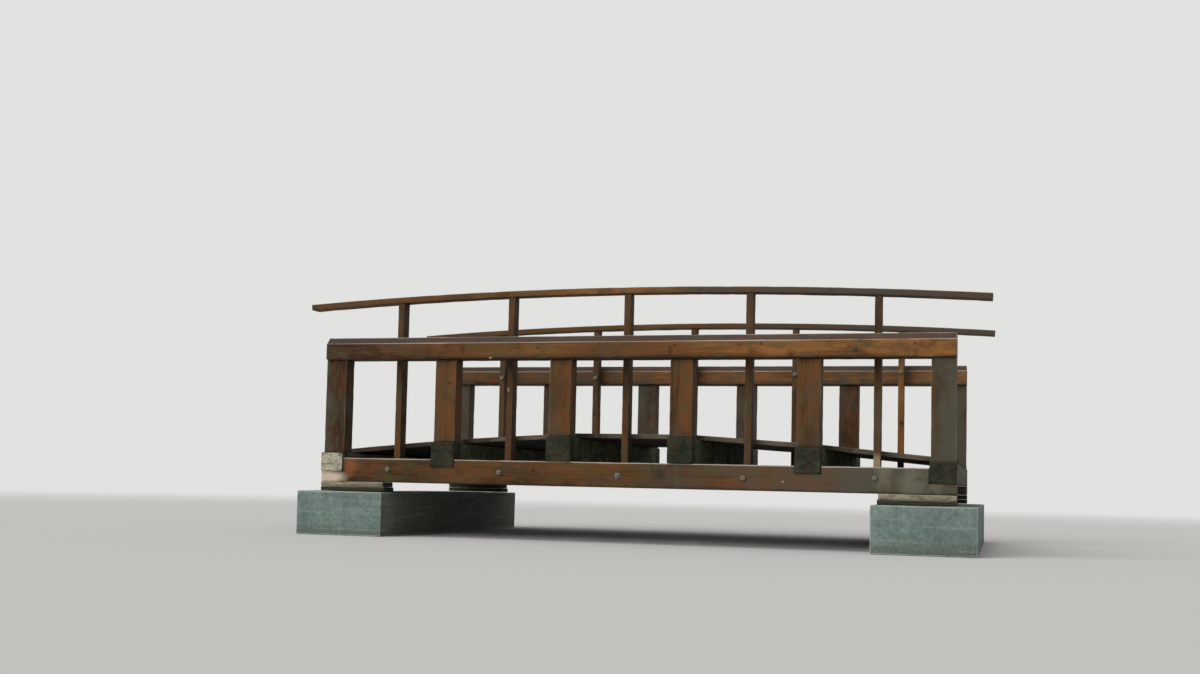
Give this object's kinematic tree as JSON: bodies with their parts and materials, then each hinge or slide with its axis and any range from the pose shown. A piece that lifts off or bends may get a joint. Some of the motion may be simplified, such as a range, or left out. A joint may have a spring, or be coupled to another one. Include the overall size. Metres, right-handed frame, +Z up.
{
  "type": "timber footbridge",
  "caption": "Short timber footbridge with post-and-beam side frames, a gently arched plank deck and handrails, on low concrete abutments.",
  "frame": {"origin": "under the middle of the span, on the level that the abutments stand on", "axes": "+X along the span to the right-hand bank, +Y across to the far side, +Z up"},
  "size_m": [5.126, 2.9, 1.8638],
  "materials": {
    "frame_timber": "red-brown stain, worn",
    "rail_timber": "red-brown stain, worn",
    "weathered_beam": "bare, grey-green",
    "deck_board": "bare, grey-brown",
    "bearing_timber": "bare, pale grey",
    "concrete": "cast concrete, algae"
  },
  "bodies": {
    "root": {"abutment_left": "concrete", "abutment_right": "concrete", "bearing_boards_lower_left": "bearing_timber", "bearing_boards_lower_right": "bearing_timber", "bearing_boards_upper_left": "bearing_timber", "bearing_boards_upper_right": "bearing_timber", "bottom_chord_far": "frame_timber", "bottom_chord_near": "frame_timber", "cross_beam_1": "weathered_beam", "cross_beam_2": "weathered_beam", "cross_beam_3": "weathered_beam", "cross_beam_4": "weathered_beam", "cross_beam_5": "weathered_beam", "cross_beam_6": "weathered_beam", "deck_bay_1": "deck_board", "deck_bay_2": "deck_board", "deck_bay_3": "deck_board", "deck_bay_4": "deck_board", "deck_bay_5": "deck_board", "handrail_far": "rail_timber", "handrail_near": "rail_timber", "post_far_1": "frame_timber", "post_far_2": "frame_timber", "post_far_3": "frame_timber", "post_far_4": "frame_timber", "post_far_5": "frame_timber", "post_far_6": "frame_timber", "post_near_1": "frame_timber", "post_near_2": "frame_timber", "post_near_3": "frame_timber", "post_near_4": "frame_timber", "post_near_5": "frame_timber", "post_near_6": "frame_timber", "rail_post_far_1": "rail_timber", "rail_post_far_2": "rail_timber", "rail_post_far_3": "rail_timber", "rail_post_far_4": "rail_timber", "rail_post_far_5": "rail_timber", "rail_post_near_1": "rail_timber", "rail_post_near_2": "rail_timber", "rail_post_near_3": "rail_timber", "rail_post_near_4": "rail_timber", "rail_post_near_5": "rail_timber", "top_chord_far": "frame_timber", "top_chord_near": "frame_timber"}
  },
  "joints": []
}
